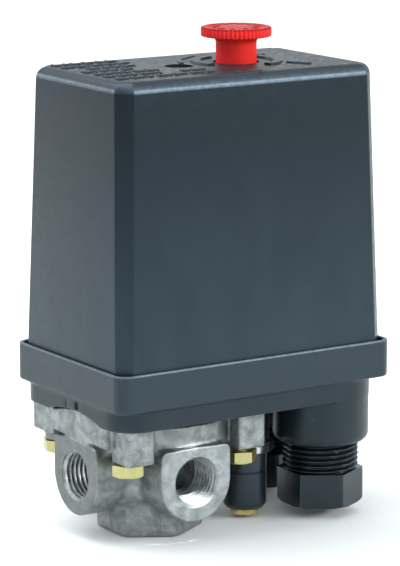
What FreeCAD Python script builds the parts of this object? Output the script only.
"""Compressor pressure switch with a four-port manifold, a push/pull knob and two cable glands.

Millimetres. The origin is the centre of the tank port's mouth, on the underside of the manifold's
hexagonal hub. +Z points up to the knob, +X along the long side to the cable glands, and -Y to the
long face that has the front port below it.
"""
import FreeCAD, Part
import math
import os
import re
from FreeCAD import Rotation, Vector

os.makedirs("parts", exist_ok=True)
doc = FreeCAD.newDocument("pressure_switch")

# ---------------------------------------------------------------- driving dimensions

SIZES = {
    # manifold
    "hub_flats": 24.6, "port_height": 16.6, "port_reach": 22.7, "port_boss_radius": 10.4,
    "boss_flat": 25.6, "boss_flat_softness": 2.0,
    "long_ear_x": -16.6, "long_ear_y": 18.9, "long_ear_half_x": 4.6, "long_ear_half_y": 5.1,
    "wall_reach": 22.3, "wall_near": 14.5, "wall_far": 13.5, "wall_bottom": 27.5,
    "lip_outer": 22.35, "lip_inner": 21.85, "lip_gap": 0.45,
    "flange_bottom": 24.4, "flange_top": 31.2, "flange_radius": 21.7,
    "front_ear_bottom": 22.8, "back_ear_bottom": 24.3, "ear_boss_bottom": 22.2, "ear_half": 4.1,
    "left_ear_x": -16.1, "right_ear_x": 17.7, "ear_y": 17.9,
    "thread_minor": 5.72, "thread_length": 10.0,
    "port_mouth": 6.8, "tank_mouth": 5.82, "passage_radius": 4.5, "dish_radius": 13.0,
    "dish_depth": 1.5, "ear_pad_radius": 3.9, "ear_softness": 0.9, "sleeve_relief": 7.1,
    "diaphragm_radius": 20.5, "face_gap": 0.05,
    # how far a cutting tool or a joining part runs past a face
    "over": 1.0, "sink": 0.5,
    # manifold screws
    "screw_x": 17.0, "screw_y": 17.0, "screw_flats": 8.0, "screw_head": 3.2,
    "screw_radius": 2.45, "screw_hole": 2.75, "screw_tip": 39.0, "loose_drop": 1.1,
    # base
    "base_bottom": 32.5, "base_floor": 35.0, "rim_bottom": 37.7, "rim_top": 47.7,
    "rim_left": -25.0, "rim_right": 59.0, "half_width": 26.5, "rim_corner": 3.5,
    "skirt_inset": 0.8, "skirt_corner": 8.0, "cavity_inset": 3.2, "cavity_corner": 9.0,
    "seat_inset": 1.05, "seat_height": 44.0, "seat_corner": 2.6, "right_skirt_corner": 12.4,
    "rim_softness": 0.7, "boss_softness": 2.2, "web_half": 8.0, "web_reach": 6.0, "web_bottom": 26.0,
    "sleeve_radius": 6.5, "sleeve_bottom": 20.8, "piston_hole": 12.5, "insert_hole": 5.1,
    "arch_radius": 43.0, "arch_rise": 2.0, "arch_y": -2.0, "arch_depth": 3.2, "latch_depth": 1.8,
    # cover
    "cover_bottom": 44.1, "cover_top": 120.4, "cover_wall": 2.0, "cover_corner": 3.4,
    "foot_inset_x": 1.24, "foot_inset_y": 1.2, "top_inset_x": 3.18, "top_inset_y": 3.87,
    "top_rounding": 2.9,
    "well_x": 9.3, "well_radius": 3.75, "well_outer": 5.5, "well_bottom": 106.1,
    "bush_radius": 6.1, "bush_outer": 7.8, "bush_bottom": 108.0, "inner_corner": 1.6,
    "well_floor": 2.0,
    "cover_screw_radius": 1.95, "cover_screw_hole": 2.2, "cover_screw_head": 3.4,
    "cover_screw_height": 2.4, "cover_screw_tip": 94.0, "post_radius": 3.4, "post_bore": 2.05,
    # knob
    "knob_x": 27.0, "knob_radius": 9.2, "knob_root_radius": 8.75, "knob_top": 129.7,
    "knob_under": 127.2, "stem_top_radius": 5.3, "stem_radius": 5.7, "stem_flare": 112.0,
    "stem_bottom": 106.0, "rod_radius": 2.95, "rod_arm": 70.0, "foot_x": 36.5, "foot_radius": 2.0,
    "foot_height": 67.15, "rod_socket": 15.0, "arm_height": 4.0, "arm_half": 2.5,
    "groove_radius": 4.7, "groove_bottom": 106.35, "groove_top": 107.95,
    "clip_radius": 7.0, "clip_hole": 4.75,
    # cable glands
    "gland_boss_radius": 12.7, "gland_boss_bottom": 20.0, "gland_head_bottom": 2.9,
    "gland_head_top": 12.2, "gland_hex_radius": 11.45, "gland_thread_radius": 10.05,
    "gland_thread_root": 9.3, "gland_pitch": 1.411, "gland_top": 25.1, "gland_bore": 6.8,
    "gland_socket": 10.3, "gland_ceiling": 31.1, "cable_hole": 7.5, "grommet_hole": 4.5,
    "gland_chamfer": 1.3, "gland_chamfer_height": 0.9, "gland_trim": 0.1, "packing_radius": 10.0,
    "washer_hole": 7.0, "washer_thick": 1.0,
    # unloader valve
    "unloader_x": 26.0, "unloader_y": -6.0, "unloader_radius": 5.8, "unloader_bottom": 2.5,
    "unloader_top": 18.1, "collet_bottom": 0.9, "collet_radius": 3.8, "tube_radius": 3.05,
    "insert_radius": 4.9, "insert_bottom": 14.1, "insert_top": 36.5, "running_gap": 0.05,
    "unloader_chamfer": 1.1, "collet_length": 8.6, "collet_lip": 3.95, "collet_head": 4.1,
    "collet_chamber": 4.3, "tube_stop": 2.2, "seal_height": 11.9, "lock_nut_flats": 14.0,
    "lock_nut_height": 2.5, "inlet_radius": 1.5, "spring_chamber": 2.6, "pin_guide": 1.35,
    "pin_rod_radius": 1.25, "pin_head_radius": 2.3, "pin_bottom": 26.0, "pin_ball_z": 56.6,
    # frame and levers
    "frame_top": 37.05, "frame_left": -20.5, "frame_right": 23.0, "frame_half": 20.5,
    "cheek_low_right": 19.0, "cheek_low_top": 67.0, "cheek_high_left": -15.0,
    "cheek_high_right": 13.0, "bridge_left": -15.5, "bridge_right": 14.0,
    "piston_radius": 12.0, "piston_disc_height": 1.3, "piston_stem": 4.0, "piston_shoulder": 42.3,
    "piston_tip_radius": 1.2, "piston_top": 43.3, "piston_way": 4.4, "pin_reach": 13.2,
    "cheek_inner": 10.5, "cheek_thick": 2.0, "bridge_bottom": 96.0,
    "bridge_top": 98.5, "pin_radius": 1.5, "pin_hole": 1.55,
    "press_pivot_x": -17.0, "press_pivot_z": 46.8, "press_lever_bottom": 43.45,
    "press_web_top": 45.45, "press_lever_top": 50.0, "press_lever_end": 14.0,
    "switch_pivot_x": 15.0, "switch_pivot_z": 62.0, "switch_bottom": 58.0, "switch_plate_top": 60.0,
    "switch_end": 37.0, "lever_half": 8.5, "carrier_top": 65.0,
    "channel_half": 7.0, "channel_overhang": 2.6, "ear_thick": 1.6, "ear_reach": 3.5,
    "ear_height": 3.0, "carrier_left": 29.0, "carrier_right": 38.5, "carrier_half": 16.0,
    "diff_x": -11.0, "seat_bottom": 87.0, "seat_top": 90.0, "plate_half": 10.2, "seat_half": 8.0,
    "main_thread": 2.95, "diff_thread": 1.95, "bore_gap": 0.08,
    "slot_half": 0.4, "earth_y": 16.5, "earth_radius": 4.0,
    "main_tip": 74.0, "main_head": 5.0, "main_head_height": 3.0, "diff_tip": 76.0, "diff_head": 3.4,
    "diff_head_height": 2.4, "diff_nut_left": 2.9, "diff_nut_right": 2.7, "lock_nut_turn": 27.0,
    # contacts and terminals
    "contact_x": 33.5, "near_pole": 6.0, "far_pole": 14.0, "bridge_contact_z": 67.0,
    "fixed_contact_z": 69.0, "strip_bottom": 69.6, "strip_top": 70.6, "terminal_x": 47.0,
    "strip_half": 2.0, "strip_end": 52.0, "tip_radius": 1.5, "bridge_half": 1.6, "strip_hole": 1.8,
    "terminal_head": 3.1, "terminal_head_height": 2.2, "terminal_shank": 1.7, "terminal_tip": 62.0,
    "clamp_half": 3.4, "clamp_thick": 1.0, "table_left": 40.5, "table_right": 54.0,
    "table_half": 19.0, "table_bottom": 60.0, "leg_left": 42.0, "leg_right": 50.0, "leg_half": 4.0,
}

sheet = doc.addObject("Spreadsheet::Sheet", "Sizes")
for row, (alias, value) in enumerate(SIZES.items(), start=1):
    sheet.set(f"A{row}", alias)
    sheet.set(f"B{row}", str(value))
    sheet.setAlias(f"B{row}", alias)
doc.recompute()

NODES = []
TOUCHING = 0.01
THREAD_ROOT_HALF = 0.2
SHEET_NAMES = {alias: f"Sizes.{alias}" for alias in SIZES}
AXES = {"x": Vector(1, 0, 0), "-x": Vector(-1, 0, 0), "y": Vector(0, 1, 0), "-y": Vector(0, -1, 0),
        "z": Vector(0, 0, 1)}


# ---------------------------------------------------------------- building blocks

def size(alias):
    """The value of a sheet cell."""
    return float(getattr(sheet, alias))


def bound(text):
    """An expression in which every driving dimension's name points to its cell."""
    return re.sub(r"[a-z]\w*", lambda word: SHEET_NAMES.get(word.group(0), word.group(0)), text)


def place(item, at):
    """Tie an object's position to three expressions."""
    for axis, text in zip("xyz", at):
        item.setExpression(f"Placement.Base.{axis}", bound(text))
    return item


def block(name, x_range, y_range, z_range):
    """A box between pairs of expressions."""
    item = doc.addObject("Part::Box", name)
    for prop, (low, high) in zip(("Length", "Width", "Height"), (x_range, y_range, z_range)):
        item.setExpression(prop, bound(f"({high}) - ({low})"))
    return place(item, (x_range[0], y_range[0], z_range[0]))


def rod(name, radius, at, length, along="z"):
    """A cylinder that starts at a point and runs along an axis."""
    item = doc.addObject("Part::Cylinder", name)
    item.setExpression("Radius", bound(radius))
    item.setExpression("Height", bound(length))
    item.Placement.Rotation = Rotation(Vector(0, 0, 1), AXES[along])
    return place(item, at)


def taper(name, low_radius, high_radius, at, length):
    """An upright cone frustum."""
    item = doc.addObject("Part::Cone", name)
    item.setExpression("Radius1", bound(low_radius))
    item.setExpression("Radius2", bound(high_radius))
    item.setExpression("Height", bound(length))
    return place(item, at)


def hexagon(name, corner_radius, at, length, turn=0.0):
    """An upright hexagonal prism, turned about its own axis by degrees."""
    item = doc.addObject("Part::Prism", name)
    item.Polygon = 6
    item.setExpression("Circumradius", bound(corner_radius))
    item.setExpression("Height", bound(length))
    item.Placement.Rotation = Rotation(Vector(0, 0, 1), turn)
    return place(item, at)


def fuse(name, *items):
    item = doc.addObject("Part::MultiFuse", name)
    item.Shapes = list(items)
    return item


def cut(name, base, *tools):
    item = doc.addObject("Part::Cut", name)
    item.Base = base
    item.Tool = tools[0] if len(tools) == 1 else fuse(f"{name}_tools", *tools)
    return item


def common(name, first, second):
    item = doc.addObject("Part::Common", name)
    item.Base = first
    item.Tool = second
    return item


def rounded(name, base, *picks):
    """Fillet the edges of base: each pick is a radius and a test of an edge's two end points."""
    doc.recompute()
    edges = []
    for number, edge in enumerate(base.Shape.Edges, start=1):
        ends = [vertex.Point for vertex in edge.Vertexes]
        for radius, test in picks:
            if len(ends) == 2 and test(*ends):
                edges.append((number, radius, radius))
                break
    item = doc.addObject("Part::Fillet", name)
    item.Base = base
    item.Edges = edges
    return item


def upright(start, end):
    """Whether an edge stands (nearly) along Z."""
    return abs((end - start).normalize().z) > 0.9


def level_at(height):
    """A test for level edges at a height."""
    return lambda start, end: abs(start.z - height) < TOUCHING and abs(end.z - height) < TOUCHING


def shaped(name, shape, at=Vector(0, 0, 0), along="z"):
    """An object whose shape is made in code, placed afterwards."""
    item = doc.addObject("Part::Feature", name)
    item.Shape = shape
    item.Placement = FreeCAD.Placement(at, Rotation(Vector(0, 0, 1), AXES[along]))
    return item


def turned(points):
    """A solid of revolution about Z from (radius, height) points."""
    wire = Part.makePolygon([Vector(radius, 0, height) for radius, height in points + points[:1]])
    return Part.Face(wire).revolve(Vector(0, 0, 0), Vector(0, 0, 1), 360)


def thread_points(crest, root, pitch, start, end):
    """Ring grooves of a thread between two heights; crest flats are a third of the pitch."""
    flat = pitch / 3
    points = [(crest, start)]
    height = start + flat
    while height + pitch - flat <= end:
        points += [(crest, height), (root, height + flat - THREAD_ROOT_HALF * flat)]
        points += [(root, height + flat + THREAD_ROOT_HALF * flat), (crest, height + pitch - flat)]
        height += pitch
    return points + [(crest, end)]


def spring(name, at, mean_radius, wire_radius, length, turns):
    """A coil spring whose wire stays between its two end planes."""
    rise = length - 2 * wire_radius
    helix = Part.makeHelix(rise / turns, rise, mean_radius)
    profile = Part.Wire(Part.makeCircle(wire_radius, Vector(mean_radius, 0, 0), Vector(0, 1, 0)))
    coil = Part.Wire(helix.Edges).makePipeShell([profile], True, True)
    return shaped(name, coil, Vector(at[0], at[1], at[2] + wire_radius))


def node(item, label):
    """Name a finished sub-part and list it for export."""
    item.Label = label
    NODES.append(item)
    return item


# ---------------------------------------------------------------- manifold

SCREW_PLACES = [("-screw_x", "-screw_y"), ("screw_x", "-screw_y"), ("-screw_x", "screw_y"),
                ("screw_x", "screw_y")]
SCREW_SEATS = ["front_ear_bottom", "front_ear_bottom - loose_drop", "ear_boss_bottom", "ear_boss_bottom"]
SCREW_TURNS = [-123.0, -20.6, 10.0, 35.0]


def port_cutter(name, mouth, at, along):
    """The space of a port: chamfered mouth, wall at the thread's minor radius and drilled passage."""
    minor = size("thread_minor")
    length = size("thread_length")
    passage = size("passage_radius")
    reach = size("port_reach")
    outside = -size("over")
    points = [(0, outside), (mouth, outside), (mouth, 0), (minor, mouth - minor), (minor, length),
              (passage, length), (passage, reach), (0, reach)]
    return shaped(name, turned(points), at, along)


def port_boss(name, low, high, lengthwise):
    """A boss that is round below its port's axis, with a flat top and soft upper edges."""
    radius = "port_boss_radius"
    start = (low, "0", "port_height") if lengthwise == "x" else ("0", low, "port_height")
    barrel = rod(f"{name}_barrel", radius, start, f"({high}) - ({low})", lengthwise)
    across = (f"-{radius}", radius)
    ranges = ((low, high), across) if lengthwise == "x" else (across, (low, high))
    plain_neck = block(f"{name}_plain_neck", *ranges, ("port_height", "boss_flat"))

    def top_edge(start, end):
        run = abs(getattr(end - start, lengthwise))
        return level_at(size("boss_flat"))(start, end) and run > size("over")

    neck = rounded(f"{name}_neck", plain_neck, (size("boss_flat_softness"), top_edge))
    above = block(f"{name}_above", *ranges, ("boss_flat", "flange_top"))
    return fuse(name, cut(f"{name}_round", barrel, above), neck)


def ear(name, centre_x, centre_y, bottom, half_x="ear_half", half_y="ear_half"):
    """A flange ear with softened upright edges."""
    item = block(name, (f"{centre_x} - {half_x}", f"{centre_x} + {half_x}"),
                 (f"{centre_y} - {half_y}", f"{centre_y} + {half_y}"), (bottom, "flange_top"))
    return rounded(f"{name}_soft", item, (size("ear_softness"), upright))


def flange_wall():
    """The flange's straight left side, with a thin lip that stands up into the base's arch."""
    across = ("-wall_near", "wall_far")
    wall = block("flange_wall", ("-wall_reach", "0"), across, ("wall_bottom", "flange_top"))
    centre = ("-lip_outer", "arch_y", "base_bottom + arch_rise - arch_radius")
    disc = rod("lip_disc", "arch_radius - lip_gap", centre, "lip_outer - lip_inner", "x")
    limits = block("lip_limits", ("-lip_outer", "-lip_inner"), across, ("wall_bottom", "base_floor"))
    soft_wall = rounded("flange_wall_soft", wall, (size("ear_softness"), upright))
    return fuse("flange_side", soft_wall, common("arch_lip", disc, limits))


def manifold():
    hub = hexagon("hub", "hub_flats / 2 / cos(30)", ("0", "0", "0"), "port_height", 30)
    flange = rod("flange", "flange_radius", ("0", "0", "flange_bottom"), "flange_top - flange_bottom")
    bosses = [port_boss("front_boss", "-port_reach", "0", "y"),
              port_boss("back_boss", "0", "port_reach", "y"),
              port_boss("left_boss", "-port_reach", "0", "x")]
    ears = [ear("front_left_ear", "left_ear_x", "-ear_y", "front_ear_bottom"),
            ear("front_right_ear", "right_ear_x", "-ear_y", "front_ear_bottom"),
            ear("back_left_ear", "long_ear_x", "long_ear_y", "back_ear_bottom", "long_ear_half_x",
                "long_ear_half_y"),
            ear("back_right_ear", "right_ear_x", "ear_y", "back_ear_bottom")]
    pads = [rod(name, "ear_pad_radius", (x, "screw_y", "ear_boss_bottom"), "flange_top - ear_boss_bottom")
            for name, x in (("left_ear_pad", "-screw_x"), ("right_ear_pad", "screw_x"))]
    body = fuse("manifold_body", hub, flange, flange_wall(), *bosses, *ears, *pads)
    holes = [rod(f"ear_hole_{number}", "screw_hole", (x, y, "0"), "flange_top + over")
             for number, (x, y) in enumerate(SCREW_PLACES)]
    dish = rod("dish", "dish_radius", ("0", "0", "flange_top - dish_depth"), "dish_depth + over")
    riser = rod("riser", "passage_radius", ("0", "0", "thread_length"), "flange_top - thread_length")
    relief = rod("unloader_relief", "sleeve_relief", ("unloader_x", "unloader_y", "sleeve_bottom - over"),
                 "flange_top - sleeve_bottom + 2 * over")
    reach = size("port_reach")
    height = size("port_height")
    mouth = size("port_mouth")
    ports = [port_cutter("front_port", mouth, Vector(0, -reach, height), "y"),
             port_cutter("back_port", mouth, Vector(0, reach, height), "-y"),
             port_cutter("left_port", mouth, Vector(-reach, 0, height), "x"),
             port_cutter("tank_port", size("tank_mouth"), Vector(0, 0, 0), "z")]
    return cut("manifold", body, *holes, dish, riser, relief, *ports)


def manifold_screws():
    """Four hexagon screws in the ears; the front right one is not quite home."""
    screws = []
    for number, ((x, y), seat, turn) in enumerate(zip(SCREW_PLACES, SCREW_SEATS, SCREW_TURNS)):
        head = hexagon(f"screw_head_{number}", "screw_flats / 2 / cos(30)", (x, y, f"{seat} - screw_head"),
                       "screw_head", turn)
        shank = rod(f"screw_shank_{number}", "screw_radius", (x, y, f"{seat} - sink"),
                    f"screw_tip - ({seat}) + sink")
        screws.append(fuse(f"screw_{number}", head, shank))
    group = doc.addObject("Part::Compound", "manifold_screws")
    group.Links = screws
    return group


node(manifold(), "manifold")
node(manifold_screws(), "manifold_screws")
node(rod("diaphragm", "diaphragm_radius", ("0", "0", "flange_top + face_gap"),
         "base_bottom - flange_top - 2 * face_gap"), "diaphragm")

# ---------------------------------------------------------------- base

GLAND_X = "rim_right - skirt_inset - gland_boss_radius"
GLAND_Y = "half_width - skirt_inset - gland_boss_radius"
GLANDS = {"near": f"-({GLAND_Y})", "far": f"({GLAND_Y})"}


LATCH_SLOTS = [("latch_slot_far", ("1.1", "1.9"), ("34.6", "36.6")),
               ("latch_slot_near", ("-4.3", "-2.7"), ("34.9", "36.9"))]


def outline_block(name, inset, low, high):
    """A box set in from the rim's outline."""
    return block(name, (f"rim_left + {inset}", f"rim_right - {inset}"),
                 (f"-half_width + {inset}", f"half_width - {inset}"), (low, high))


def left_corner(start, end):
    return upright(start, end) and start.x < 0


def right_corner(start, end):
    return upright(start, end) and start.x > 0


def gland_boss(side):
    """A round boss with a softened lower edge."""
    boss = rod(f"{side}_boss_plain", "gland_boss_radius", (GLAND_X, GLANDS[side], "gland_boss_bottom"),
               "base_floor - gland_boss_bottom")
    doc.recompute()
    item = doc.addObject("Part::Fillet", f"{side}_boss")
    item.Base = boss
    radius = size("boss_softness")
    bottom = size("gland_boss_bottom")
    item.Edges = [(number, radius, radius) for number, edge in enumerate(boss.Shape.Edges, start=1)
                  if len(edge.Vertexes) == 1 and abs(edge.Vertexes[0].Z - bottom) < TOUCHING]
    return item


def base():
    skirt_plain = outline_block("skirt_plain", "skirt_inset", "base_bottom", "rim_bottom + over")
    skirt = rounded("skirt", skirt_plain, (size("skirt_corner"), left_corner),
                    (size("right_skirt_corner"), right_corner))
    rim_plain = outline_block("rim_plain", "0", "rim_bottom", "rim_top")
    rim_corners = rounded("rim_corners", rim_plain, (size("rim_corner"), upright))
    rim = rounded("rim", rim_corners, (size("rim_softness"), level_at(size("rim_bottom"))))
    bosses = [gland_boss(side) for side in GLANDS]
    web = block("boss_web", (f"{GLAND_X} - web_half", f"{GLAND_X} + web_half"), ("-web_reach", "web_reach"),
                ("web_bottom", "base_floor"))
    sleeve = rod("unloader_sleeve", "sleeve_radius", ("unloader_x", "unloader_y", "sleeve_bottom"),
                 "base_floor - sleeve_bottom")
    body = fuse("base_body", skirt, rim, *bosses, web, sleeve)

    cavity_plain = outline_block("cavity_plain", "cavity_inset", "base_floor", "rim_top + over")
    cavity = rounded("cavity", cavity_plain, (size("cavity_corner"), upright))
    seat_plain = outline_block("seat_plain", "seat_inset", "seat_height", "rim_top + over")
    seat = rounded("seat", seat_plain, (size("seat_corner"), upright))
    floor = ("base_bottom - over", "base_floor - base_bottom + 2 * over")
    piston_hole = rod("piston_way_in_base", "piston_hole", ("0", "0", floor[0]), floor[1])
    screw_holes = [rod(f"base_hole_{number}", "screw_hole", (x, y, floor[0]), floor[1])
                   for number, (x, y) in enumerate(SCREW_PLACES)]
    insert_hole = rod("insert_way", "insert_hole", ("unloader_x", "unloader_y", "sleeve_bottom - over"),
                      "base_floor - sleeve_bottom + 2 * over")
    sockets = []
    for side, y in GLANDS.items():
        sockets.append(rod(f"{side}_socket", "gland_socket", (GLAND_X, y, "gland_boss_bottom - over"),
                           "gland_ceiling - gland_boss_bottom + over"))
        sockets.append(rod(f"{side}_cable_hole", "cable_hole", (GLAND_X, y, "gland_ceiling - over"),
                           "base_floor - gland_ceiling + 2 * over"))
    # A shallow arch in the left wall's lower edge, over the flange, and two latch slots above it.
    arch = rod("arch", "arch_radius", ("rim_left - over", "arch_y", "base_bottom + arch_rise - arch_radius"),
               "arch_depth + over", "x")
    slots = [block(name, ("rim_left", "rim_left + latch_depth"), y_range, z_range)
             for name, y_range, z_range in LATCH_SLOTS]
    return cut("base", body, cavity, seat, piston_hole, *screw_holes, insert_hole, *sockets, arch, *slots)


node(base(), "base")

# ---------------------------------------------------------------- cover and its screw

def tapered_block(name, shrink):
    """The cover's leaning box, shrunk evenly on its sides and top, open end at cover_bottom."""
    item = doc.addObject("Part::Wedge", name)
    item.Placement.Rotation = Rotation(Vector(1, 0, 0), 90)
    sides = {"Ymin": "cover_bottom", "Ymax": f"cover_top - {shrink}"}
    for level, inset in (("", "foot_inset"), ("2", "top_inset")):
        sides[f"X{level}min"] = f"rim_left + {inset}_x + {shrink}"
        sides[f"X{level}max"] = f"rim_right - {inset}_x - {shrink}"
        sides[f"Z{level}min"] = f"-half_width + {inset}_y + {shrink}"
        sides[f"Z{level}max"] = f"half_width - {inset}_y - {shrink}"
    for prop, text in sides.items():
        item.setExpression(prop, bound(text))
    return item


def cover():
    outer_plain = tapered_block("cover_outer_plain", "0")
    outer_corners = rounded("cover_outer_corners", outer_plain, (size("cover_corner"), upright))
    outer = rounded("cover_outer", outer_corners, (size("top_rounding"), level_at(size("cover_top"))))
    inner_plain = tapered_block("cover_inner_plain", "cover_wall")
    inner = rounded("cover_inner", inner_plain, (size("inner_corner"), upright))
    shell = cut("cover_shell", outer, inner)
    well = rod("well", "well_outer", ("well_x", "0", "well_bottom"), "cover_top - over - well_bottom")
    bush = rod("bush", "bush_outer", ("knob_x", "0", "bush_bottom"), "cover_top - over - bush_bottom")
    body = fuse("cover_body", shell, well, bush)
    access = rod("access_hole", "well_radius", ("well_x", "0", "well_bottom + well_floor"),
                 "cover_top - well_bottom - well_floor + over")
    screw_hole = rod("screw_way", "cover_screw_hole", ("well_x", "0", "well_bottom - over"),
                     "well_floor + 2 * over")
    stem_hole = rod("stem_hole", "bush_radius", ("knob_x", "0", "bush_bottom - over"),
                    "cover_top - bush_bottom + 2 * over")
    return cut("cover", body, access, screw_hole, stem_hole)


def cover_screw():
    """A cross-slotted pan-head screw on the floor of the access well."""
    seat = "well_bottom + well_floor + face_gap"
    head = rod("pan_head", "cover_screw_head", ("well_x", "0", seat), "cover_screw_height")
    shank = rod("cover_screw_shank", "cover_screw_radius", ("well_x", "0", "cover_screw_tip"),
                f"{seat} + sink - cover_screw_tip")
    depth = (f"{seat} + cover_screw_height / 2", f"{seat} + cover_screw_height + over")
    slots = [block("cross_slot_x", ("well_x - 5 * slot_half", "well_x + 5 * slot_half"),
                   ("-slot_half", "slot_half"), depth),
             block("cross_slot_y", ("well_x - slot_half", "well_x + slot_half"),
                   ("-5 * slot_half", "5 * slot_half"), depth)]
    return cut("cover_screw", fuse("cover_screw_body", head, shank), *slots)


def cover_post():
    """The threaded spacer between the bridge and the well's floor."""
    body = rod("post_body", "post_radius", ("well_x", "0", "bridge_top + face_gap"),
               "well_bottom - bridge_top - 2 * face_gap")
    bore = rod("post_way", "post_bore", ("well_x", "0", "bridge_top - over"),
               "well_bottom - bridge_top + 2 * over")
    return cut("cover_post", body, bore)


node(cover(), "cover")
node(cover_screw(), "cover_screw")
node(cover_post(), "cover_post")

# ---------------------------------------------------------------- knob

KNOB_TEETH = 50


def knob():
    """A notched disc on a hollow, slightly flared stem with a groove for its retaining ring."""
    crest = size("knob_radius")
    root = size("knob_root_radius")
    outline = []
    for step in range(2 * KNOB_TEETH):
        radius = root if step % 2 else crest
        angle = math.pi * step / KNOB_TEETH
        outline.append(Vector(radius * math.cos(angle), radius * math.sin(angle), 0))
    rim = Part.Face(Part.makePolygon(outline + outline[:1]))
    thickness = size("knob_top") - size("knob_under")
    disc = shaped("knob_disc", rim.extrude(Vector(0, 0, thickness)),
                  Vector(size("knob_x"), 0, size("knob_under")))
    flare = taper("stem_flare_part", "stem_radius", "stem_top_radius", ("knob_x", "0", "stem_flare"),
                  "knob_under - stem_flare + sink")
    stem = rod("stem", "stem_radius", ("knob_x", "0", "stem_bottom"), "stem_flare - stem_bottom")
    bore = rod("rod_bore", "rod_radius + running_gap", ("knob_x", "0", "stem_bottom - over"),
               "rod_socket + over")
    groove_outer = rod("groove_outer", "knob_radius", ("knob_x", "0", "groove_bottom"),
                       "groove_top - groove_bottom")
    groove_inner = rod("groove_inner", "groove_radius", ("knob_x", "0", "stem_bottom"), "3 * over")
    groove = cut("ring_seat", groove_outer, groove_inner)
    return cut("knob", fuse("knob_body", disc, flare, stem), bore, groove)


def knob_rod():
    """The rod in the knob's stem; its arm reaches over the switch lever and ends in a round foot."""
    shaft = rod("rod_shaft", "rod_radius", ("knob_x", "0", "rod_arm"),
                "stem_bottom + rod_socket - 2 * face_gap - rod_arm")
    arm = block("rod_arm_bar", ("knob_x - rod_radius", "foot_x + foot_radius"), ("-arm_half", "arm_half"),
                ("rod_arm", "rod_arm + arm_height"))
    leg = block("rod_leg", ("foot_x - foot_radius", "foot_x + foot_radius"), ("-arm_half", "arm_half"),
                ("foot_height", "rod_arm + over"))
    foot = rod("rod_foot", "foot_radius", ("foot_x", "-arm_half", "foot_height"), "2 * arm_half", "y")
    return fuse("knob_rod", shaft, arm, leg, foot)


def knob_ring():
    """The retaining ring in the groove at the stem's lower end."""
    outer = rod("clip_outer", "clip_radius", ("knob_x", "0", "groove_bottom + face_gap"),
                "groove_top - groove_bottom - 2 * face_gap")
    inner = rod("clip_inner", "clip_hole", ("knob_x", "0", "stem_bottom"), "3 * over")
    return cut("knob_ring", outer, inner)


node(knob(), "knob")
node(knob_rod(), "knob_rod")
node(knob_ring(), "knob_ring")

# ---------------------------------------------------------------- piston, frame and bridge

def piston():
    """A disc on the diaphragm with a stem and a narrow tip under the pressure lever."""
    disc = rod("piston_disc", "piston_radius", ("0", "0", "base_bottom + face_gap"), "piston_disc_height")
    stem = rod("piston_rod", "piston_stem", ("0", "0", "base_bottom + over"),
               "piston_shoulder - base_bottom - over")
    tip = rod("piston_tip", "piston_tip_radius", ("0", "0", "piston_shoulder - over"),
              "piston_top - piston_shoulder + over")
    return fuse("piston", disc, stem, tip)


def frame():
    """A steel base plate with two upright cheeks that hold the pivot pins and the bridge."""
    plate = block("frame_plate", ("frame_left", "frame_right"), ("-frame_half", "frame_half"),
                  ("base_floor + face_gap", "frame_top"))
    cheeks = []
    for side, faces in (("near", ("-cheek_inner - cheek_thick", "-cheek_inner")),
                        ("far", ("cheek_inner", "cheek_inner + cheek_thick"))):
        cheeks.append(block(f"{side}_cheek_low", ("frame_left", "cheek_low_right"), faces,
                            ("frame_top - sink", "cheek_low_top")))
        cheeks.append(block(f"{side}_cheek_high", ("cheek_high_left", "cheek_high_right"), faces,
                            ("cheek_low_top - over", "bridge_bottom")))
    body = fuse("frame_body", plate, *cheeks)
    low, through = "base_floor - over", "frame_top - base_floor + 2 * over"
    holes = [rod(f"frame_hole_{number}", "screw_radius + running_gap", (x, y, low), through)
             for number, (x, y) in enumerate(SCREW_PLACES)]
    piston_way = rod("piston_way_in_frame", "piston_way", ("0", "0", low), through)
    unloader_way = rod("unloader_way", "sleeve_radius", ("unloader_x", "unloader_y", low), through)
    earth_hole = rod("earth_hole", "diff_thread + 2 * running_gap", ("0", "earth_y", low), through)
    pins = [rod("press_pin_hole", "pin_hole", ("press_pivot_x", "-pin_reach", "press_pivot_z"),
                "2 * pin_reach", "y"),
            rod("switch_pin_hole", "pin_hole", ("switch_pivot_x", "-pin_reach", "switch_pivot_z"),
                "2 * pin_reach", "y")]
    return cut("frame", body, *holes, piston_way, unloader_way, earth_hole, *pins)


def spring_bridge():
    """The plate across the cheeks, with holes for both adjusting screws and the cover screw."""
    half = "cheek_inner + cheek_thick"
    plate = block("bridge_plate", ("bridge_left", "bridge_right"), (f"-({half})", half),
                  ("bridge_bottom", "bridge_top"))
    holes = [rod(name, f"{radius} + 2 * running_gap", (x, "0", "bridge_bottom - over"),
                 "bridge_top - bridge_bottom + 2 * over")
             for name, radius, x in (("adjuster_hole", "main_thread", "0"),
                                     ("diff_hole", "diff_thread", "diff_x"),
                                     ("cover_screw_way", "cover_screw_radius", "well_x"))]
    return cut("spring_bridge", plate, *holes)


node(piston(), "piston")
node(frame(), "frame")
node(spring_bridge(), "spring_bridge")
for label, x, z in (("lever_pin", "press_pivot_x", "press_pivot_z"),
                    ("switch_pin", "switch_pivot_x", "switch_pivot_z")):
    node(rod(f"{label}_rod", "pin_radius", (x, "-pin_reach", z), "2 * pin_reach", "y"), label)

# ---------------------------------------------------------------- levers and springs

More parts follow.
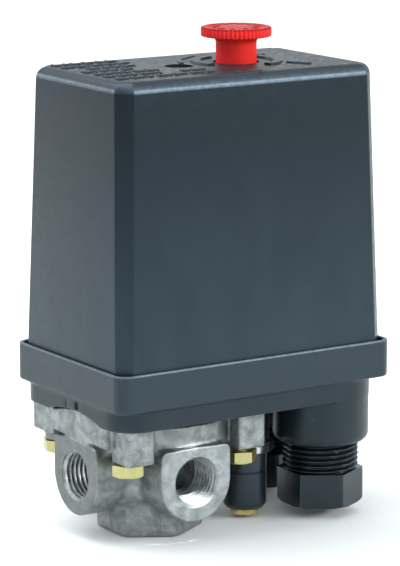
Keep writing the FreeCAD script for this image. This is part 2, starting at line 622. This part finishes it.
def pressure_lever():
    """A channel, open upwards, with its pivot hole through both flanges."""
    channel = block("press_channel", ("press_pivot_x - channel_overhang", "press_lever_end"),
                    ("-lever_half", "lever_half"), ("press_lever_bottom", "press_lever_top"))
    space = block("press_channel_space",
                  ("press_pivot_x - channel_overhang - over", "press_lever_end + over"),
                  ("-channel_half", "channel_half"), ("press_web_top", "press_lever_top + over"))
    hole = rod("press_lever_hole", "pin_hole", ("press_pivot_x", "-cheek_inner", "press_pivot_z"),
               "2 * cheek_inner", "y")
    return cut("pressure_lever", channel, space, hole)


def adjuster(label, x, radius, tip, head_radius, head_height):
    """A slotted adjusting screw that hangs through the bridge."""
    head = rod(f"{label}_head", head_radius, (x, "0", "bridge_top + face_gap"), head_height)
    shank = rod(f"{label}_shank", radius, (x, "0", tip), f"bridge_top + over - ({tip})")
    slot = block(f"{label}_slot", (f"{x} - {head_radius} - over", f"{x} + {head_radius} + over"),
                 ("-1.5 * slot_half", "1.5 * slot_half"),
                 (f"bridge_top + {head_height} / 2", f"bridge_top + {head_height} + over"))
    return cut(label, fuse(f"{label}_body", head, shank), slot)


def guided_plate(label, left, right, x, radius):
    """A plate that rides on an adjusting screw's thread and slides between the cheeks."""
    plate = block(f"{label}_plate", (left, right), ("-plate_half", "plate_half"), ("seat_bottom", "seat_top"))
    hole = rod(f"{label}_hole", f"{radius} + bore_gap", (x, "0", "seat_bottom - over"),
               "seat_top - seat_bottom + 2 * over")
    return cut(label, plate, hole)


node(pressure_lever(), "pressure_lever")
node(adjuster("adjusting_screw", "0", "main_thread", "main_tip", "main_head",
              "main_head_height"), "adjusting_screw")
node(adjuster("differential_screw", "diff_x", "diff_thread", "diff_tip", "diff_head",
              "diff_head_height"), "differential_screw")
node(guided_plate("spring_seat", "-seat_half", "seat_half", "0", "main_thread"), "spring_seat")
node(guided_plate("differential_nut", "diff_x - diff_nut_left", "diff_x + diff_nut_right", "diff_x",
                  "diff_thread"), "differential_nut")

# Each coil spring's foot, mean radius, wire radius, top and turns.
FRAME_TOP = size("frame_top")
WEB_TOP = size("press_web_top")
COILS = {
    "main_spring": ((0, 0, WEB_TOP), 5.2, 1.1, size("seat_bottom"), 8.5),
    "differential_spring": ((size("diff_x"), 0, WEB_TOP), 2.45, 0.4, size("seat_bottom"), 18),
    "return_spring": ((20, 5, FRAME_TOP), 2.3, 0.35, size("switch_bottom"), 9),
}
for label, (foot, mean_radius, wire_radius, top, turns) in COILS.items():
    node(spring(label, foot, mean_radius, wire_radius, top - foot[2], turns), label)


def switch_lever():
    """A plate with two ears around its pivot pin."""
    left = "switch_pivot_x - ear_reach"
    plate = block("switch_plate", (left, "switch_end"), ("-lever_half", "lever_half"),
                  ("switch_bottom", "switch_plate_top"))
    ears = [block(f"switch_ear_{name}", (left, "switch_pivot_x + ear_reach"), (low, high),
                  ("switch_bottom", "switch_pivot_z + ear_height"))
            for name, low, high in (("near", "-lever_half", "-lever_half + ear_thick"),
                                    ("far", "lever_half - ear_thick", "lever_half"))]
    hole = rod("switch_lever_hole", "pin_hole", ("switch_pivot_x", "-cheek_inner", "switch_pivot_z"),
               "2 * cheek_inner", "y")
    return cut("switch_lever", fuse("switch_lever_body", plate, *ears), hole)


node(switch_lever(), "switch_lever")
node(block("carrier_bar", ("carrier_left", "carrier_right"), ("-carrier_half", "carrier_half"),
           ("switch_plate_top", "carrier_top")), "contact_carrier")

# ---------------------------------------------------------------- contacts and terminals

POLES = {"near_outer": "-far_pole", "near_inner": "-near_pole", "far_inner": "near_pole",
         "far_outer": "far_pole"}


def group(name, items):
    item = doc.addObject("Part::Compound", name)
    item.Links = items
    return item


def contact_bridges():
    """Two moving bridges, each with a silver tip at either end."""
    bridges = []
    for side, low, high in (("near", "-far_pole", "-near_pole"), ("far", "near_pole", "far_pole")):
        strip = block(f"{side}_strip", ("contact_x - strip_half", "contact_x + strip_half"),
                      (f"{low} - bridge_half", f"{high} + bridge_half"),
                      ("bridge_contact_z", "bridge_contact_z + over"))
        tips = [rod(f"{side}_tip_{number}", "tip_radius", ("contact_x", y, "bridge_contact_z + sink"),
                    "fixed_contact_z - bridge_contact_z - sink - 2 * face_gap")
                for number, y in enumerate((low, high))]
        bridges.append(fuse(f"{side}_bridge", strip, *tips))
    return group("contact_bridges", bridges)


def fixed_contacts():
    """Four strips that run from the contacts to the terminals."""
    strips = []
    for name, y in POLES.items():
        strip = block(f"strip_{name}", ("contact_x - strip_half", "strip_end"),
                      (f"{y} - strip_half", f"{y} + strip_half"), ("strip_bottom", "strip_top"))
        tip = rod(f"fixed_tip_{name}", "tip_radius", ("contact_x", y, "fixed_contact_z"), "over")
        hole = rod(f"strip_hole_{name}", "strip_hole", ("terminal_x", y, "strip_bottom - over"), "3 * over")
        strips.append(cut(f"fixed_{name}", fuse(f"fixed_body_{name}", strip, tip), hole))
    return group("fixed_contacts", strips)


def terminal_screws():
    screws = []
    for name, y in POLES.items():
        seat = "strip_top + clamp_thick + 2 * face_gap"
        head = rod(f"terminal_head_{name}", "terminal_head", ("terminal_x", y, seat), "terminal_head_height")
        shank = rod(f"terminal_shank_{name}", "terminal_shank", ("terminal_x", y, "terminal_tip"),
                    f"{seat} + sink - terminal_tip")
        slot = block(f"terminal_slot_{name}", ("terminal_x - leg_half", "terminal_x + leg_half"),
                     (f"{y} - slot_half", f"{y} + slot_half"),
                     (f"{seat} + terminal_head_height / 2", f"{seat} + terminal_head_height + over"))
        screws.append(cut(f"terminal_screw_{name}", fuse(f"terminal_body_{name}", head, shank), slot))
    return group("terminal_screws", screws)


def wire_clamps():
    clamps = []
    for name, y in POLES.items():
        plate = block(f"clamp_plate_{name}", ("terminal_x - clamp_half", "terminal_x + clamp_half"),
                      (f"{y} - clamp_half", f"{y} + clamp_half"),
                      ("strip_top + face_gap", "strip_top + face_gap + clamp_thick"))
        hole = rod(f"clamp_hole_{name}", "strip_hole", ("terminal_x", y, "strip_top - over"), "4 * over")
        clamps.append(cut(f"clamp_{name}", plate, hole))
    return group("wire_clamps", clamps)


def terminal_block():
    """A table for the terminals on a leg between the two cable holes."""
    table = block("terminal_table", ("table_left", "table_right"), ("-table_half", "table_half"),
                  ("table_bottom", "strip_bottom - face_gap"))
    leg = block("terminal_leg", ("leg_left", "leg_right"), ("-leg_half", "leg_half"),
                ("base_floor + face_gap", "table_bottom + over"))
    holes = [rod(f"terminal_hole_{name}", "strip_hole", ("terminal_x", y, "terminal_tip - sink"),
                 "strip_bottom - terminal_tip + over") for name, y in POLES.items()]
    return cut("terminal_block", fuse("terminal_block_body", table, leg), *holes)


def contact_springs():
    """A short coil under the middle of each moving bridge."""
    height = size("carrier_top")
    middle = (size("near_pole") + size("far_pole")) / 2
    coils = [spring(f"{side}_contact_spring", (size("contact_x"), y, height), 1.7, 0.25,
                    size("bridge_contact_z") - height, 2.5)
             for side, y in (("near", -middle), ("far", middle))]
    return group("contact_springs", coils)


def earth_screw():
    """A slotted terminal screw in the frame's base plate."""
    seat = "frame_top + clamp_thick + 2 * face_gap"
    head = rod("earth_head", "cover_screw_head", ("0", "earth_y", seat), "cover_screw_height")
    shank = rod("earth_shank", "diff_thread", ("0", "earth_y", "base_floor + 4 * face_gap"),
                f"{seat} + sink - base_floor - 4 * face_gap")
    slot = block("earth_slot", ("-earth_radius", "earth_radius"),
                 ("earth_y - slot_half", "earth_y + slot_half"),
                 (f"{seat} + cover_screw_height / 2", f"{seat} + cover_screw_height + over"))
    return cut("earth_screw", fuse("earth_body", head, shank), slot)


def disc_with_hole(name, outer, hole, at, thickness):
    """A flat ring that stands on a point."""
    return cut(name, rod(f"{name}_disc", outer, at, thickness),
               rod(f"{name}_hole", hole, (at[0], at[1], f"{at[2]} - over"), f"{thickness} + 2 * over"))


node(contact_bridges(), "contact_bridges")
node(contact_springs(), "contact_springs")
node(fixed_contacts(), "fixed_contacts")
node(terminal_screws(), "terminal_screws")
node(wire_clamps(), "wire_clamps")
node(terminal_block(), "terminal_block")
node(earth_screw(), "earth_screw")
node(disc_with_hole("earth_washer", "earth_radius", "diff_thread + 2 * running_gap",
                    ("0", "earth_y", "frame_top + face_gap"), "clamp_thick"), "earth_washer")

# ---------------------------------------------------------------- unloader valve

UNLOADER = ("unloader_x", "unloader_y")


def unloader_body():
    """The black push-in body: stepped bore from below for collet and seal, socket above for the insert."""
    chamfer = taper("unloader_foot", "unloader_radius - unloader_chamfer", "unloader_radius",
                    (*UNLOADER, "unloader_bottom"), "unloader_chamfer")
    barrel = rod("unloader_barrel", "unloader_radius", (*UNLOADER, "unloader_bottom + unloader_chamfer"),
                 "unloader_top - unloader_bottom - unloader_chamfer")
    collet_top = "collet_bottom + collet_length"
    bores = [rod("lip_bore", "collet_lip", (*UNLOADER, "unloader_bottom - over"), "3 * over"),
             rod("chamber_bore", "collet_chamber", (*UNLOADER, "unloader_bottom + 1.5 * over"),
                 "seal_height - unloader_bottom - 0.8 * over"),
             rod("tube_stop_bore", "tube_stop", (*UNLOADER, f"{collet_top} + over"), "5 * over"),
             rod("insert_socket", "insert_radius + running_gap", (*UNLOADER, "insert_bottom - face_gap"),
                 "unloader_top - insert_bottom + over")]
    return cut("unloader_body", fuse("unloader_outer", chamfer, barrel), *bores)


def unloader_valve():
    """The brass insert that screws through the base and guides the pin."""
    barrel = rod("insert_barrel", "insert_radius", (*UNLOADER, "insert_bottom"),
                 "insert_top - insert_bottom")
    floor = "insert_bottom + 0.9 * over"
    guide_bottom = "insert_top - 7.5 * over"
    bores = [rod("insert_inlet", "inlet_radius", (*UNLOADER, "insert_bottom - over"), "3 * over"),
             rod("insert_chamber", "spring_chamber", (*UNLOADER, floor),
                 f"{guide_bottom} + over - ({floor})"),
             rod("guide_bore", "pin_guide", (*UNLOADER, guide_bottom), "9 * over")]
    return cut("unloader_valve", barrel, *bores)


def unloader_collet():
    """The release collet: a thin sleeve that stands out of the body and is kept in by its wider end."""
    sleeve = rod("collet_sleeve", "collet_radius", (*UNLOADER, "collet_bottom"), "collet_length")
    head_bottom = "unloader_bottom + 1.6 * over"
    head = rod("collet_shoulder", "collet_head", (*UNLOADER, head_bottom),
               f"collet_bottom + collet_length - ({head_bottom})")
    bore = rod("tube_bore", "tube_radius", (*UNLOADER, "collet_bottom - over"), "collet_length + 2 * over")
    return cut("unloader_collet", fuse("collet_outer", sleeve, head), bore)


def unloader_pin():
    """A headed pin with a round top under the switch lever."""
    head = rod("pin_head", "pin_head_radius", (*UNLOADER, "pin_bottom"), "2 * over")
    shaft = rod("pin_shaft", "pin_rod_radius", (*UNLOADER, "pin_bottom + over"),
                "pin_ball_z - pin_bottom - over")
    ball = doc.addObject("Part::Sphere", "pin_ball")
    ball.setExpression("Radius", bound("pin_rod_radius"))
    place(ball, (*UNLOADER, "pin_ball_z"))
    return fuse("unloader_pin", head, shaft, ball)


def unloader_seal():
    """A round-section ring between the collet and the tube's stop."""
    ring = doc.addObject("Part::Torus", "seal_ring")
    ring.Radius1 = 3.6
    ring.Radius2 = 0.6
    return place(ring, (*UNLOADER, "seal_height"))


def unloader_nut():
    """The lock nut between the body and the base's sleeve."""
    body = hexagon("nut_body", "lock_nut_flats / 2 / cos(30)", (*UNLOADER, "unloader_top + 2 * face_gap"),
                   "lock_nut_height", size("lock_nut_turn"))
    bore = rod("nut_bore", "insert_radius + running_gap", (*UNLOADER, "unloader_top - over"),
               "lock_nut_height + 3 * over")
    return cut("unloader_nut", body, bore)


node(unloader_body(), "unloader_body")
node(unloader_valve(), "unloader_valve")
node(unloader_collet(), "unloader_collet")
node(unloader_pin(), "unloader_pin")
node(unloader_seal(), "unloader_seal")
node(unloader_nut(), "unloader_nut")
SPRING_FOOT = size("insert_bottom") + 0.9 * size("over")
node(spring("unloader_spring", (size("unloader_x"), size("unloader_y"), SPRING_FOOT), 1.9, 0.3,
            size("pin_bottom") - SPRING_FOOT, 7), "unloader_spring")

# ---------------------------------------------------------------- cable glands

def gland_screw(side, turn):
    """A hollow compression screw: hexagon head with a chamfered lower edge, and a threaded shank."""
    centre = (GLAND_X, GLANDS[side])
    hexagon_head = hexagon(f"{side}_hexagon", "gland_hex_radius", (*centre, "gland_head_bottom"),
                           "gland_head_top - gland_head_bottom", turn)
    widest = "gland_hex_radius - gland_trim"
    envelope_low = taper(f"{side}_head_low", "gland_hex_radius - gland_chamfer", widest,
                         (*centre, "gland_head_bottom"), "gland_chamfer_height")
    envelope_high = rod(f"{side}_head_high", widest, (*centre, "gland_head_bottom + gland_chamfer_height"),
                        "gland_head_top - gland_head_bottom - gland_chamfer_height")
    head = common(f"{side}_head", hexagon_head, fuse(f"{side}_head_envelope", envelope_low, envelope_high))
    start = size("gland_head_top") - size("sink")
    points = [(0, start)]
    points += thread_points(size("gland_thread_radius"), size("gland_thread_root"), size("gland_pitch"),
                            start, size("gland_top"))
    points += [(0, size("gland_top"))]
    shank = shaped(f"{side}_shank", turned(points))
    place(shank, (*centre, "0"))
    bore = rod(f"{side}_gland_bore", "gland_bore", (*centre, "gland_head_bottom - over"),
               "gland_top - gland_head_bottom + 2 * over")
    return cut(f"{side}_gland_screw", fuse(f"{side}_gland_body", head, shank), bore)


GLAND_TURNS = {"near": 27.0, "far": 14.0}
for side, turn in GLAND_TURNS.items():
    centre = (GLAND_X, GLANDS[side])
    washer_bottom = "gland_top + face_gap"
    grommet_bottom = f"{washer_bottom} + washer_thick + face_gap"
    node(gland_screw(side, turn), f"{side}_gland_screw")
    node(disc_with_hole(f"{side}_gland_washer", "packing_radius", "washer_hole",
                        (*centre, washer_bottom), "washer_thick"), f"{side}_gland_washer")
    node(disc_with_hole(f"{side}_grommet", "packing_radius", "grommet_hole", (*centre, grommet_bottom),
                        f"gland_ceiling - face_gap - ({grommet_bottom})"), f"{side}_grommet")

# ---------------------------------------------------------------- check and export

doc.recompute()
for item in doc.Objects:
    if "Invalid" in item.State or "Error" in item.State:
        raise RuntimeError(f"{item.Name} did not compute: {item.State}")
for item in NODES:
    if item.Shape.isNull() or not item.Shape.isValid() or not item.Shape.Solids:
        raise RuntimeError(f"{item.Label} is not a valid solid")
    item.Shape.exportStep(f"parts/{item.Label}.step")
